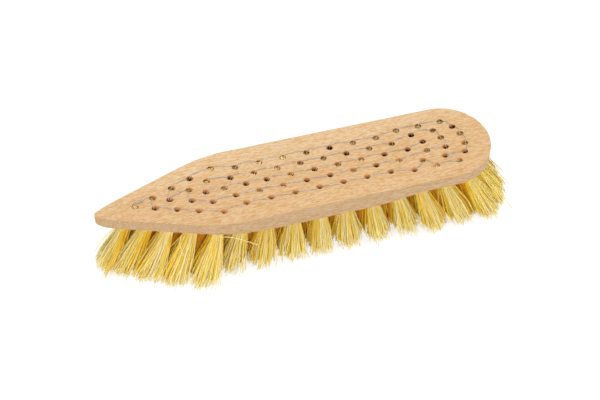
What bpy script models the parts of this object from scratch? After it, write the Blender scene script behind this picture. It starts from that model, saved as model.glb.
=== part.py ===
"""A pointed shoe brush: beech block, 72 tufts of plant fibre, and one steel stitching wire.

The block is drilled through 72 times. Each tuft is folded over the wire and pulled up into
its hole from below, and the wire runs from hole to hole along the back of the block.
+X runs from the pointed nose to the round heel, +Z is up, and the brush stands on the cut
tips of its tufts at Z = 0. The origin is the middle of the space that the brush takes up.
"""

import math

import bmesh
import bpy
from mathutils import Matrix, Vector

MM = 0.001

# Driving dimensions of the whole brush
BRUSH_HEIGHT = 43.0 * MM
NOSE_X = -115.6 * MM
SEAT_GAP = 0.3 * MM

# Beech block
BLOCK_LENGTH = 225.5 * MM
BLOCK_WIDTH = 53.0 * MM
NOSE_RADIUS = 2.2 * MM
CHEEK_ANGLE = math.radians(29.5)
CHEEK_RADIUS = 80.0 * MM
NOSE_HALF_ANGLE = math.radians(20.3)
SHOULDER_RADIUS = 80.0 * MM
MIDDLE_THICKNESS = 10.8 * MM
END_THICKNESS = 7.2 * MM
NOSE_RAMP = (48.0 * MM, 98.0 * MM)
HEEL_RAMP = (148.0 * MM, 184.0 * MM)
NOSE_LIFT = 1.6 * MM
NOSE_LIFT_LENGTH = 6.0 * MM
EDGE_ROUNDING = 1.1 * MM
EDGE_SEGMENTS = 2
SHARP_EDGE = math.radians(50.0)

# Steps of the curves: few, because the flat back is drilled 72 times
NOSE_STEPS = 4
CHEEK_STEPS = 2
SHOULDER_STEPS = 6
HEEL_STEPS = 10
RAMP_STEPS = 8
LIFT_STEPS = 3

# How far a cutter reaches past what it cuts, and how near two points are to be one
CUTTER_REACH = 2.0 * MM
ENVELOPE_MARGIN = 5.0 * MM
WELD_DISTANCE = 0.001 * MM
FLAT_ANGLE = math.radians(1.0)

# Holes: a small bore at the back, and a pocket below it for the root of the tuft
BORE_DIAMETER = 3.7 * MM
BORE_SIDES = 10
BORE_OVERLAP = 1.0 * MM
POCKET_SIDES = 8
ROOT_RADIUS = 2.8 * MM
ROOT_THICKNESS = 3.0 * MM

# Tufts: they fan out from the middle of the brush, and most at the nose
FAN_CENTRE = 128.0 * MM
FAN_RATE = 0.27
FAN_NOSE_LIMIT = 22.0 * MM
SIDE_LEAN_AT_NOSE = 0.55
SIDE_LEAN_LOSS = 2.2
STRANDS_ROUND_A_TUFT = 4
STRAND_SIDES = 3
STRAND_ROOT_RADIUS = 0.7 * MM
ROOT_RING_RADIUS = 1.6 * MM
WIDEST_TUFT = 11.0 * MM
TIP_RING_SHARE = 0.73
TIP_STRAND_SHARE = 0.25
STRAND_SUNK = 0.8 * MM
TRIM_DEPTH = 0.5 * MM
FOLD_RADIUS = 1.4 * MM
FOLD_DEPTH = 2.6 * MM
FOLD_SIDES = 6

# Stitching wire
WIRE_DIAMETER = 0.45 * MM
WIRE_LIFT = 0.58 * MM
WIRE_ARCH = 1.05 * MM
WIRE_DIP = 1.0 * MM
WIRE_TURN = 1.5 * MM
WIRE_ROUNDNESS = 2

# Hole rows, as distances in mm from the nose tip and out from the middle line
OUTER_ROW = [(44.0, 7.8), (55.0, 11.9), (67.8, 16.0)]
OUTER_ROW += [(81.0 + 13.65 * i, 13.2) for i in range(7)]
OUTER_ROW += [(175.8, 15.5), (188.9, 15.5), (202.3, 15.5)]
INNER_ROW = [(63.6, 7.7)]
INNER_ROW += [(76.6 + 13.35 * i, 6.5) for i in range(8)]
INNER_ROW += [(182.8, 10.0), (195.9, 10.0)]
MIDDLE_ROW = [(61.5, 0.0), (71.7, 0.0), (83.9, 0.0)]
MIDDLE_ROW += [(95.6 + 13.6 * i, 0.0) for i in range(7)]
NOSE_TIP = (22.4, 0.0)
NOSE_PAIR = (32.7, 3.7)
NOSE_MIDDLE = (41.5, 0.0)
THROAT_PAIR = (52.9, 3.9)
HEEL_FIRST_PAIR = (187.4, 3.5)
HEEL_SECOND_PAIR = (198.4, 3.7)
HEEL_CORNER = (207.6, 9.9)
HEEL_END = (210.0, 3.8)


def back(hole):
    """The hole on the side away from the viewer."""
    return hole[0], hole[1]


def front(hole):
    """The same hole mirrored to the viewer's side."""
    return hole[0], -hole[1]


def both(hole):
    return [front(hole), back(hole)]


def place(hole):
    """A hole's centre on the back of the block, in metres."""
    along, out = hole
    return Vector((NOSE_X + along * MM, out * MM, BRUSH_HEIGHT))


def stitching_order():
    """The 72 holes in the order in which the wire passes them."""
    order = [NOSE_TIP, back(NOSE_PAIR), front(NOSE_PAIR)]
    order += [front(hole) for hole in OUTER_ROW[:11]]
    order += [front(INNER_ROW[9]), front(OUTER_ROW[11]), front(OUTER_ROW[12]), front(INNER_ROW[10])]
    order += [front(HEEL_CORNER), front(HEEL_END), back(HEEL_END), back(HEEL_CORNER)]
    order += [back(hole) for hole in reversed(OUTER_ROW)]
    order += [NOSE_MIDDLE, back(THROAT_PAIR), front(THROAT_PAIR)]
    order += [front(hole) for hole in INNER_ROW[:9]]
    order += [front(HEEL_FIRST_PAIR), front(HEEL_SECOND_PAIR), back(HEEL_SECOND_PAIR)]
    order += [back(hole) for hole in reversed(INNER_ROW)]
    order += MIDDLE_ROW
    order += [back(HEEL_FIRST_PAIR)]
    return order


def tuft_groups():
    """Node names, each with the one or two tufts that share its slice of backing."""
    middle = [[NOSE_TIP], both(NOSE_PAIR), [NOSE_MIDDLE], both(THROAT_PAIR)]
    middle += [[hole] for hole in MIDDLE_ROW]
    middle += [both(HEEL_FIRST_PAIR), both(HEEL_SECOND_PAIR), both(HEEL_END)]
    side = [[OUTER_ROW[0]], [OUTER_ROW[1]]]
    side += [[inner, outer] for inner, outer in zip(INNER_ROW, OUTER_ROW[2:])]
    side += [[HEEL_CORNER]]
    groups = {f"middle_tuft_{i:02d}": group for i, group in enumerate(middle, 1)}
    groups.update({f"back_tuft_{i:02d}": [back(h) for h in g] for i, g in enumerate(side, 1)})
    groups.update({f"front_tuft_{i:02d}": [front(h) for h in g] for i, g in enumerate(side, 1)})
    return groups


def ramp(x, start, end):
    """Rises from 0 to 1 between start and end along half a cosine."""
    share = min(max((x - start) / (end - start), 0.0), 1.0)
    return 0.5 - 0.5 * math.cos(math.pi * share)


def thickness(along):
    """Block thickness: thin ends, a thicker middle, and an underside that lifts at the nose."""
    middle = ramp(along, *NOSE_RAMP) - ramp(along, *HEEL_RAMP)
    to_tip = 1.0 - min(max(along / NOSE_LIFT_LENGTH, 0.0), 1.0)
    full = END_THICKNESS + (MIDDLE_THICKNESS - END_THICKNESS) * middle
    return full - NOSE_LIFT * to_tip**2


def underside(x):
    """Height of the block's underside at a world X."""
    return BRUSH_HEIGHT - thickness(x - NOSE_X)


def tuft_axis(hole):
    """Where a tuft's middle line passes the back of the block, and where it meets the floor."""
    top = place(hole)
    along = hole[0] * MM
    lean_x = max(FAN_RATE * (along - FAN_CENTRE), -FAN_NOSE_LIMIT)
    lean_y = top.y * (SIDE_LEAN_AT_NOSE - SIDE_LEAN_LOSS * along)
    return top, Vector((top.x + lean_x, top.y + lean_y, 0.0))


def axis_point(hole, z):
    """The point of a tuft's middle line at height z."""
    top, floor = tuft_axis(hole)
    return floor.lerp(top, z / BRUSH_HEIGHT)


def tip_spread(hole):
    """A tuft spreads until it meets its nearest neighbour, or to its own full width."""
    floor = tuft_axis(hole)[1]
    others = [tuft_axis(other)[1] for other in stitching_order() if other != hole]
    nearest = min((other - floor).length for other in others)
    return min(WIDEST_TUFT, nearest - SEAT_GAP) / 2


def arc(centre, radius, start, end, steps):
    """Points round an arc, with both ends."""
    turns = [start + (end - start) * i / steps for i in range(steps + 1)]
    return [(centre[0] + radius * math.cos(a), centre[1] + radius * math.sin(a)) for a in turns]


def block_outline():
    """Round nose, cheeks, straight sides, shoulder arcs, parallel flanks and a half-round heel."""
    half = BLOCK_WIDTH / 2
    upright = math.pi / 2
    cheek_turn = upright + CHEEK_ANGLE
    side_turn = upright + NOSE_HALF_ANGLE
    nose = arc((NOSE_RADIUS, 0.0), NOSE_RADIUS, math.pi, cheek_turn, NOSE_STEPS)
    inward = NOSE_RADIUS - CHEEK_RADIUS
    cheek_x = NOSE_RADIUS + inward * math.cos(cheek_turn)
    cheek_y = inward * math.sin(cheek_turn)
    cheek = arc((cheek_x, cheek_y), CHEEK_RADIUS, cheek_turn, side_turn, CHEEK_STEPS)
    shoulder_y = half - SHOULDER_RADIUS
    side_rise = shoulder_y + SHOULDER_RADIUS * math.cos(NOSE_HALF_ANGLE) - cheek[-1][1]
    side_end = cheek[-1][0] + side_rise / math.tan(NOSE_HALF_ANGLE)
    shoulder_x = side_end + SHOULDER_RADIUS * math.sin(NOSE_HALF_ANGLE)
    shoulder = arc((shoulder_x, shoulder_y), SHOULDER_RADIUS, side_turn, upright, SHOULDER_STEPS)
    heel = arc((BLOCK_LENGTH - half, 0.0), half, upright, 0.0, HEEL_STEPS)
    upper = nose + cheek[1:] + shoulder + heel
    lower = [(x, -y) for x, y in reversed(upper[1:-1])]
    return [(NOSE_X + x, y) for x, y in upper + lower]


def camber_outline():
    """Side view of the block's envelope: flat back, underside that bulges in the middle."""
    stations = [-ENVELOPE_MARGIN]
    stations += [NOSE_LIFT_LENGTH * i / LIFT_STEPS for i in range(LIFT_STEPS + 1)]
    for start, end in (NOSE_RAMP, HEEL_RAMP):
        stations += [start + (end - start) * i / RAMP_STEPS for i in range(RAMP_STEPS + 1)]
    stations += [BLOCK_LENGTH + ENVELOPE_MARGIN]
    lower = [(NOSE_X + s, BRUSH_HEIGHT - thickness(s)) for s in stations]
    above = BRUSH_HEIGHT + ENVELOPE_MARGIN
    return lower + [(lower[-1][0], above), (lower[0][0], above)]


def new_collection(name):
    collection = bpy.data.collections.new(name)
    bpy.context.scene.collection.children.link(collection)
    return collection


def new_material(name, colour, roughness, metallic=0.0):
    material = bpy.data.materials.new(name)
    material.use_nodes = True
    shader = material.node_tree.nodes["Principled BSDF"]
    shader.inputs["Base Color"].default_value = (*colour, 1.0)
    shader.inputs["Roughness"].default_value = roughness
    shader.inputs["Metallic"].default_value = metallic
    return material


def new_object(name, mesh, collection, material=None):
    obj = bpy.data.objects.new(name, mesh)
    collection.objects.link(obj)
    if material:
        mesh.materials.append(material)
    return obj


def as_helper(obj):
    """Marks an object as a cutter or an operand, which isn't a piece of the brush."""
    obj.hide_render = True
    obj.display_type = "WIRE"
    return obj


def mesh_from(bm, name):
    bmesh.ops.recalc_face_normals(bm, faces=bm.faces)
    mesh = bpy.data.meshes.new(name)
    bm.to_mesh(mesh)
    bm.free()
    return mesh


def flat_shape(name, outline, depth):
    """A closed mesh of a flat outline with a thickness, made by a filled 2D curve."""
    curve = bpy.data.curves.new(name, "CURVE")
    curve.dimensions = "2D"
    curve.fill_mode = "BOTH"
    curve.extrude = depth / 2
    spline = curve.splines.new("POLY")
    spline.points.add(len(outline) - 1)
    for point, (u, v) in zip(spline.points, outline):
        point.co = (u, v, 0.0, 1.0)
    spline.use_cyclic_u = True
    guide = bpy.data.objects.new(name, curve)
    bpy.context.scene.collection.objects.link(guide)
    graph = bpy.context.evaluated_depsgraph_get()
    mesh = bpy.data.meshes.new_from_object(guide.evaluated_get(graph))
    bpy.data.objects.remove(guide)
    bm = bmesh.new()
    bm.from_mesh(mesh)
    bmesh.ops.remove_doubles(bm, verts=bm.verts, dist=WELD_DISTANCE)
    bm.to_mesh(mesh)
    bm.free()
    return mesh


def add_boolean(obj, operand, operation):
    modifier = obj.modifiers.new(operand.name, "BOOLEAN")
    modifier.operation = operation
    modifier.solver = "EXACT"
    modifier.object = operand


def add_bar(bm, start, end, start_radius, end_radius, sides):
    """A straight closed bar between two points, tapered from one radius to the other."""
    line = end - start
    turn = line.to_track_quat("Z", "Y").to_matrix().to_4x4()
    bmesh.ops.create_cone(
        bm,
        cap_ends=True,
        segments=sides,
        radius1=start_radius,
        radius2=end_radius,
        depth=line.length,
        matrix=Matrix.Translation((start + end) / 2) @ turn,
    )


def add_plug(bm, holes, radius, bottom, top):
    """An upright plug round one tuft root, or one long plug round two."""
    plug = bmesh.new()
    seat = root_bottom(holes) + ROOT_THICKNESS / 2
    for hole in holes:
        centre = axis_point(hole, seat)
        centre.z = (bottom + top) / 2
        bmesh.ops.create_cone(
            plug,
            cap_ends=True,
            segments=POCKET_SIDES,
            radius1=radius,
            radius2=radius,
            depth=top - bottom,
            matrix=Matrix.Translation(centre),
        )
    if len(holes) > 1:
        hull = bmesh.ops.convex_hull(plug, input=plug.verts)
        inside = [e for e in hull["geom_interior"] if isinstance(e, bmesh.types.BMVert)]
        bmesh.ops.delete(plug, geom=inside, context="VERTS")
        keep = set(hull["geom"])
        spare = [face for face in plug.faces if face not in keep]
        bmesh.ops.delete(plug, geom=spare, context="FACES")
        bmesh.ops.dissolve_limit(plug, angle_limit=FLAT_ANGLE, verts=plug.verts, edges=plug.edges)
    mesh = mesh_from(plug, "plug")
    bm.from_mesh(mesh)
    bpy.data.meshes.remove(mesh)


def root_bottom(holes):
    """Height of the underside at the middle of a group."""
    return underside(sum(place(hole).x for hole in holes) / len(holes))


def build_block(collection, helpers, material, groups):
    """The block: outline, cambered underside, rounded edges, then pockets and bores."""
    depth = MIDDLE_THICKNESS
    mesh = flat_shape("beech_block", block_outline(), depth)
    mesh.transform(Matrix.Translation((0.0, 0.0, BRUSH_HEIGHT - depth / 2)))
    block = new_object("beech_block", mesh, collection, material)

    side_view = flat_shape("camber_envelope", camber_outline(), BLOCK_WIDTH + 2 * ENVELOPE_MARGIN)
    side_view.transform(Matrix.Rotation(math.pi / 2, 4, "X"))
    envelope = as_helper(new_object("camber_envelope", side_view, helpers))
    add_boolean(block, envelope, "INTERSECT")

    rounding = block.modifiers.new("edge_rounding", "BEVEL")
    rounding.width = EDGE_ROUNDING
    rounding.segments = EDGE_SEGMENTS
    rounding.limit_method = "ANGLE"
    rounding.angle_limit = SHARP_EDGE

    pockets = bmesh.new()
    bores = bmesh.new()
    for holes in groups.values():
        bottom = root_bottom(holes)
        ceiling = bottom + ROOT_THICKNESS + SEAT_GAP
        add_plug(pockets, holes, ROOT_RADIUS + SEAT_GAP, bottom - CUTTER_REACH, ceiling)
        for hole in holes:
            above = axis_point(hole, BRUSH_HEIGHT + CUTTER_REACH)
            inside = axis_point(hole, ceiling - BORE_OVERLAP)
            add_bar(bores, above, inside, BORE_DIAMETER / 2, BORE_DIAMETER / 2, BORE_SIDES)
    for name, cutter in (("root_pockets", pockets), ("wire_bores", bores)):
        operand = as_helper(new_object(name, mesh_from(cutter, name), helpers))
        add_boolean(block, operand, "DIFFERENCE")
    return block


def add_strands(bm, hole, bottom):
    """One tuft below the block: strands that spread from the root and stop at the floor."""
    root = axis_point(hole, bottom + STRAND_SUNK)
    tip = axis_point(hole, -TRIM_DEPTH)
    mirror = -1.0 if hole[1] < 0 else 1.0
    spread = tip_spread(hole)
    tip_radius = TIP_STRAND_SHARE * spread
    add_bar(bm, root, tip, STRAND_ROOT_RADIUS, tip_radius, STRAND_SIDES)
    for i in range(STRANDS_ROUND_A_TUFT):
        turn = 2 * math.pi * (i + 0.5) / STRANDS_ROUND_A_TUFT
        out = Vector((math.cos(turn), mirror * math.sin(turn), 0.0))
        start = root + out * ROOT_RING_RADIUS
        end = tip + out * TIP_RING_SHARE * spread
        add_bar(bm, start, end, STRAND_ROOT_RADIUS, tip_radius, STRAND_SIDES)


def trim_flat(bm):
    """Cuts the strands level with the floor and closes their ends."""
    geometry = bm.verts[:] + bm.edges[:] + bm.faces[:]
    floor = Vector((0.0, 0.0, 0.0))
    bmesh.ops.bisect_plane(
        bm, geom=geometry, plane_co=floor, plane_no=Vector((0.0, 0.0, -1.0)), clear_outer=True
    )
    bmesh.ops.holes_fill(bm, edges=[edge for edge in bm.edges if edge.is_boundary])


def build_tufts(name, holes, collection, helpers, material):
    """One or two tufts on their slice of backing, with the fold that the wire holds."""
    bottom = root_bottom(holes)
    top = bottom + ROOT_THICKNESS
    slice_bm = bmesh.new()
    add_plug(slice_bm, holes, ROOT_RADIUS, bottom, top)
    tuft = new_object(name, mesh_from(slice_bm, name), collection, material)

    fibres = bmesh.new()
    for hole in holes:
        add_strands(fibres, hole, bottom)
    trim_flat(fibres)
    for hole in holes:
        fold_foot = axis_point(hole, (bottom + top) / 2)
        fold_top = axis_point(hole, BRUSH_HEIGHT - FOLD_DEPTH)
        add_bar(fibres, fold_foot, fold_top, FOLD_RADIUS, FOLD_RADIUS, FOLD_SIDES)
    operand_name = f"{name}_fibres"
    operand = as_helper(new_object(operand_name, mesh_from(fibres, operand_name), helpers))
    add_boolean(tuft, operand, "UNION")
    return tuft


def wire_route():
    """The wire's points: down into each hole, up over its rim, and in a low arch to the next."""
    centres = [place(hole) for hole in stitching_order()]
    up = Vector((0.0, 0.0, 1.0))
    points = []
    for i, centre in enumerate(centres):
        if i > 0:
            back_along = (centres[i - 1] - centre).normalized()
            points.append((centres[i - 1] + centre) / 2 + up * WIRE_ARCH)
            points.append(centre + back_along * WIRE_TURN + up * WIRE_LIFT)
        points.append(centre - up * WIRE_DIP)
        if i < len(centres) - 1:
            along = (centres[i + 1] - centre).normalized()
            points.append(centre + along * WIRE_TURN + up * WIRE_LIFT)
    return points


def build_wire(collection, material):
    points = wire_route()
    curve = bpy.data.curves.new("stitching_wire", "CURVE")
    curve.dimensions = "3D"
    curve.bevel_depth = WIRE_DIAMETER / 2
    curve.bevel_resolution = WIRE_ROUNDNESS
    curve.use_fill_caps = True
    spline = curve.splines.new("POLY")
    spline.points.add(len(points) - 1)
    for target, point in zip(spline.points, points):
        target.co = (*point, 1.0)
    return new_object("stitching_wire", curve, collection, material)


def main():
    for obj in list(bpy.data.objects):
        bpy.data.objects.remove(obj)
    parts = new_collection("shoe_brush")
    helpers = new_collection("cutters")
    beech = new_material("beech", (0.70, 0.48, 0.27), 0.55)
    fibre = new_material("plant_fibre", (0.80, 0.60, 0.16), 0.6)
    steel = new_material("steel_wire", (0.45, 0.45, 0.46), 0.35, 1.0)
    groups = tuft_groups()
    build_block(parts, helpers, beech, groups)
    for name, holes in groups.items():
        build_tufts(name, holes, parts, helpers, fibre)
    build_wire(parts, steel)


main()
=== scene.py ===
"""The look of the pointed shoe brush: beech block, 72 tufts of plant fibre, steel wire.

Metres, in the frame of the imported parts: +X runs from the pointed nose to the round heel,
+Z is up, and the cut tips of the tufts stand on Z = 0.
"""

import math
import random

import bmesh
import bpy
import numpy as np
from mathutils import Matrix, Vector


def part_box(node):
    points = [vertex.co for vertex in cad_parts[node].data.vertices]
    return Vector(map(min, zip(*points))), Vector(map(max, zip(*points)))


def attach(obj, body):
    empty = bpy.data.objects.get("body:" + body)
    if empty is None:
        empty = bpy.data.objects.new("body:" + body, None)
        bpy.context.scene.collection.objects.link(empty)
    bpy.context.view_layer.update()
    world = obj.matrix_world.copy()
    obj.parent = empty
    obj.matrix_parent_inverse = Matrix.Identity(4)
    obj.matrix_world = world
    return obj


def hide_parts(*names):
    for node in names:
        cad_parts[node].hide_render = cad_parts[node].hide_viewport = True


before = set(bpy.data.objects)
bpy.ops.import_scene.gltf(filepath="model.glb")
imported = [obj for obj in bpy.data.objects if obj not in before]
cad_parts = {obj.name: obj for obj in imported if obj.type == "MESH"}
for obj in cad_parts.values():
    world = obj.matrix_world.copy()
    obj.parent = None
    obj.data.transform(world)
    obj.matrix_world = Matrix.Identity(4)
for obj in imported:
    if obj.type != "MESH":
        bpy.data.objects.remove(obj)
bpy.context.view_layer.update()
MM = 0.001
UP = Vector((0.0, 0.0, 1.0))

# The block, from the frame
BLOCK_LOW, BLOCK_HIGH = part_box("beech_block")
BRUSH_HEIGHT = BLOCK_HIGH.z
NOSE_X = BLOCK_LOW.x
BLOCK_LENGTH = BLOCK_HIGH.x - BLOCK_LOW.x
BLOCK_WIDTH = BLOCK_HIGH.y - BLOCK_LOW.y
MIDDLE_THICKNESS = BLOCK_HIGH.z - BLOCK_LOW.z
END_THICKNESS = 7.2 * MM
NOSE_RADIUS = 2.2 * MM
CHEEK_ANGLE = math.radians(29.5)
CHEEK_RADIUS = 80.0 * MM
NOSE_HALF_ANGLE = math.radians(20.3)
SHOULDER_RADIUS = 80.0 * MM
NOSE_RAMP = (48.0 * MM, 98.0 * MM)
HEEL_RAMP = (148.0 * MM, 184.0 * MM)
NOSE_LIFT = 1.6 * MM
NOSE_LIFT_LENGTH = 6.0 * MM
EDGE_ROUNDING = 1.1 * MM
EDGE_SEGMENTS = 5
SHARP_EDGE = math.radians(50.0)
CREASE = math.radians(35.0)

# Steps of the block's curves, and what helps to cut it
NOSE_STEPS = 12
CHEEK_STEPS = 6
SHOULDER_STEPS = 16
HEEL_STEPS = 36
RAMP_STEPS = 20
LIFT_STEPS = 6
ENVELOPE_MARGIN = 5.0 * MM
WELD_DISTANCE = 0.001 * MM

# Grain: it runs almost along the middle line, and wanders a little
GRAIN_TURN = math.radians(-1.5)
GRAIN_WANDER = 4.0 * MM

# Patterns of the wood: how many times in a metre each repeats along, across and through it
WANDER_SCALE = (16.0, 26.0, 16.0)
BAND_SCALE = (5.0, 110.0, 70.0)
FLECK_SCALE = (300.0, 1800.0, 1800.0)
PATCH_SCALE = (200.0, 700.0, 700.0)
STREAK_SCALE = (220.0, 1900.0, 1900.0)
LINE_SCALE = (60.0, 1050.0, 1050.0)
PORE_SCALE = (300.0, 3200.0, 3200.0)
DRILL_MARK_SCALE = (900.0, 900.0, 2600.0)

# Where a pattern fades in or out: its value, and how strongly it shows there
FLECK_FADE = ((0.24, 1.0), (0.42, 0.0))
PATCH_FADE = ((0.30, 0.8), (0.55, 1.0))
STREAK_FADE = ((0.50, 0.0), (0.68, 1.0))
LINE_FADE = ((0.50, 0.0), (0.70, 1.0))
SHINE_FADE = ((0.30, 1.0), (0.44, 0.0))
STREAK_STRENGTH = 0.9
LINE_STRENGTH = 0.6
SHINE_STRENGTH = 0.25

# Colours of the wood; a painted sheen makes the back row's side of the top paler, and painted shade
# makes its walls and rounded edges darker and more grey
BAND_COLOURS = [(0.30, (0.80, 0.535, 0.295)), (0.50, (0.82, 0.555, 0.31)), (0.72, (0.84, 0.58, 0.325))]
LINE_COLOUR = (0.70, 0.38, 0.11, 1.0)
MARK_COLOUR = (0.67, 0.34, 0.10, 1.0)
SHINE_COLOUR = (0.90, 0.68, 0.42, 1.0)
# Painted sheen: the back half of the top is made paler, as if lit from behind
BACK_SHEEN_TINT = (1.06, 1.14, 1.26, 1.0)
# Painted shade on the walls and rounded edges
WALL_SHADE_TINT = (0.745, 0.76, 0.80, 1.0)
# Where the painted sheen rises, out from the middle line
PALER_FROM = 2.0 * MM
PALER_TO = 21.0 * MM
BUMP_HEIGHT = 0.2 * MM

# Holes
BORE_DIAMETER = 3.7 * MM
COUNTERBORE_DIAMETER = 6.0 * MM
COUNTERBORE_ROOF = 3.6 * MM
COUNTERBORE_LEAST_DEPTH = 3.2 * MM
COUNTERBORE_STEP = 0.01 * MM
HOLE_SIDES = 28
MOUTH_WEAR = 0.07 * MM
MOUTH_LIP = 0.02 * MM
CHIP_SIZE = 0.03 * MM
CHIPPED_LEVELS = 3
CHIP_SEED = 11
CUTTER_ABOVE = 1.0 * MM
CUTTER_BELOW = 2.0 * MM
BORE_EXTRA_LEAN = 0.019
UPRIGHT_LEAN = 1e-6

# Walls of the holes, from their mouth down to the depth where painted shade has turned them dark
BORE_SHADE_DEPTH = 3.9 * MM
BORE_SHADE_UNEVENNESS = 0.4
BORE_SHADE_COLOURS = [
    (0.0, (0.90, 0.51, 0.21)),
    (0.45, (0.84, 0.42, 0.135)),
    (0.70, (0.24, 0.10, 0.03)),
    (1.0, (0.05, 0.02, 0.007)),
]

# Tufts
FAN_CENTRE = 128.0 * MM
FAN_RATE = 0.27
FAN_NOSE_LIMIT = 22.0 * MM
SIDE_LEAN_AT_NOSE = 0.55
SIDE_LEAN_LOSS = 2.2
FOLDED_FIBRES = 150
FIBRE_RADIUS = 0.195 * MM
FIBRE_SIDES = 5
FIBRE_STEPS = 9
FIBRE_THICKNESSES = (0.75, 1.35)
FIBRE_END_TAPER = 0.75
OUTER_CROWDING = 0.45
TUFT_SEED = 100

# Inside the block: how a bundle folds over the wire, and widens below it
BORE_SQUEEZE = 1.65 * MM
FOLD_SINK = 0.7 * MM
FOLD_SHOULDER = 0.35 * MM
FOLD_JITTER = 0.5 * MM
SHOULDER_SQUEEZE = 0.95
OTHER_HALF_ALONG = (0.7, 1.0)
OTHER_HALF_ACROSS = (0.6, 1.0)
WIDENS_ABOVE_ROOF = 0.6 * MM
WIDENS_BELOW_FOLD = 0.8 * MM
WIDENING_LENGTH = 1.5 * MM
ROOT_RADIUS = 2.8 * MM

# Below the block: where the tips stand, and how a fibre runs there
TIP_RADIUS = 7.2 * MM
TIP_SCATTER = 0.17
TIP_SQUARENESS = 0.7
TIP_UNEVENNESS = 1.0 * MM
NOSE_TUFT_SHIFT = 1.4 * MM
NOSE_TUFT_SQUEEZE = 0.25
SHORT_FIBRE_SHARE = 0.10
SHORT_FIBRE_LOSS = (1.0 * MM, 6.0 * MM)
STRAY_SHARE = 0.02
STRAY_SCATTER = 0.4
STRAY_SWAY = 3.5 * MM
SWAY = 1.0 * MM
BEND_REACH = 0.33
ROOT_STRAIGHTNESS = 0.8
TIP_STRAIGHTNESS = 0.3
WAVE_HEIGHTS = (0.10 * MM, 0.60 * MM)
WAVES = (1.5, 3.5)
WAVE_TURNS = 3

# How far the outer fibres splay sideways, in mm, at places along the block
SPLAY_PLACES = (20.0, 45.0, 70.0, 82.0, 98.0, 132.0, 175.0, 215.0)
SPLAY = (2.5, 3.2, 4.0, 1.2, 3.2, 4.0, 3.8, 4.0)
WIDE_ROW = 13.2

# Tone of a fibre: 0 is deep gold and PALEST_TONE straw; above it lie the folds' tones, darkened by
# painted shade
TONE_MEAN = 0.60
TONE_SPREAD = 0.20
TIP_PALENESS = 0.16
PALEST_TONE = 0.80
# Folds sit in painted shade; bright folds get less of it, and a share of fibres get the darkest
# painted shade between them
FOLD_TONES = (0.85, 0.90)
BRIGHT_FOLD_TONES = (0.76, 0.83)
FOLD_GAP_SHADE_TONES = (0.94, 1.0)
FOLD_GAP_SHARE = 0.3
# Painted shade: tufts inside the outer ring are made deeper gold, fully at the block and by the share
# below at the tips
INNER_TUFT_SHADE = 0.90
INNER_TUFT_SHADE_AT_TIP = 0.4
# Painted shade: fibres in a tuft's core and on its inward side are made deeper gold
INWARD_SHADE = 0.45
INWARD_CORE = 0.6
INWARD_RIM = 0.4
INWARD_FACING = 0.8
FIBRE_COLOURS = [
    (0.0, (0.85, 0.36, 0.02)),
    (0.22, (0.96, 0.56, 0.02)),
    (0.42, (0.98, 0.725, 0.05)),
    (0.62, (0.98, 0.80, 0.14)),
    (0.80, (0.99, 0.87, 0.43)),
    # Painted shade on the folds in the bores
    (0.90, (0.42, 0.34, 0.15)),
    (1.0, (0.30, 0.17, 0.06)),
]

# The stretch of the middle line, from the nose tip, that fibres face away from unless near it
MIDDLE_LINE = (45.0 * MM, 190.0 * MM)
NEAR_MIDDLE_LINE = 1.0 * MM

# Single stray fibres: the hole that each comes from, and the places that it passes, in mm
STRAY_STEPS = 6
STRAYS = {
    (67.8, -16.0): [
        (-54.0, -23.5, 32.5),
        (-48.5, -26.5, 33.4),
        (-43.0, -27.0, 30.6),
        (-32.0, -27.0, 21.5),
    ],
    (22.4, 0.0): [(-107.0, -4.0, 33.5), (-112.5, -6.0, 31.0), (-118.5, -8.0, 27.5)],
    (55.0, -11.9): [(-74.0, -20.0, 31.0), (-71.5, -22.0, 15.4), (-66.0, -22.0, 3.0)],
}

# How far below the back a fold sits: high, middle or deep in its bore
FOLD_DEPTHS = {"h": (0.5 * MM, 1.0 * MM), "m": (1.3 * MM, 2.0 * MM), "d": (3.0 * MM, 4.0 * MM)}

# The depth of each fold, in stitching order; a capital letter marks a fold with less painted shade, in
# paler tones
PULLS = "Hmddddddd" "dddddmMmd" "dmmdmhhhh" "dmHHmHdmd"
PULLS += "mdddmMddm" "dMmdmmdmm" "dmmHMdMdm" "ddMdmMddd"

# Wire
WIRE_DIAMETER = 0.32 * MM
WIRE_ROUNDNESS = 3
WIRE_STEPS = 5
WIRE_SEED = 5
WIRE_UNDER_FOLD = 1.2 * MM
WIRE_PAST_RIM = 0.15 * MM
WIRE_IN_RIM = 0.30 * MM
WIRE_IN_DEPTH = 0.7 * MM
WIRE_BOWS = (-0.3 * MM, 0.7 * MM)
WIRE_HUMPS = (0.15 * MM, 0.6 * MM)
FIRST_BOW = 0.5 * MM
FIRST_HUMP = 0.6 * MM
RIM_SHARE = 0.8
RIM_SWING = math.radians(28.0)
RIM_SWING_BACK = math.radians(5.6)
WIRE_COLOURS = [(0.35, (0.31, 0.295, 0.28)), (0.65, (0.60, 0.58, 0.55))]
WIRE_PATCH_SCALE = (400.0, 400.0, 400.0)
# Painted light: the wire is made paler where it dips into a bore
LIT_WIRE_IN_BORE = (0.92, 0.91, 0.88, 1.0)
LIT_WIRE_BELOW = 0.6 * MM

# Rise of a bow between two holes: how far along it, and the share of its hump reached there
HUMP_SHAPE = ((0.2, 0.7), (0.45, 1.0), (0.75, 0.45))

# The wire's loose end, in mm from the mouth of the last hole
LOOSE_END = ((0.5, 0.1, -1.6), (0.1, -0.2, 0.1))

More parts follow.
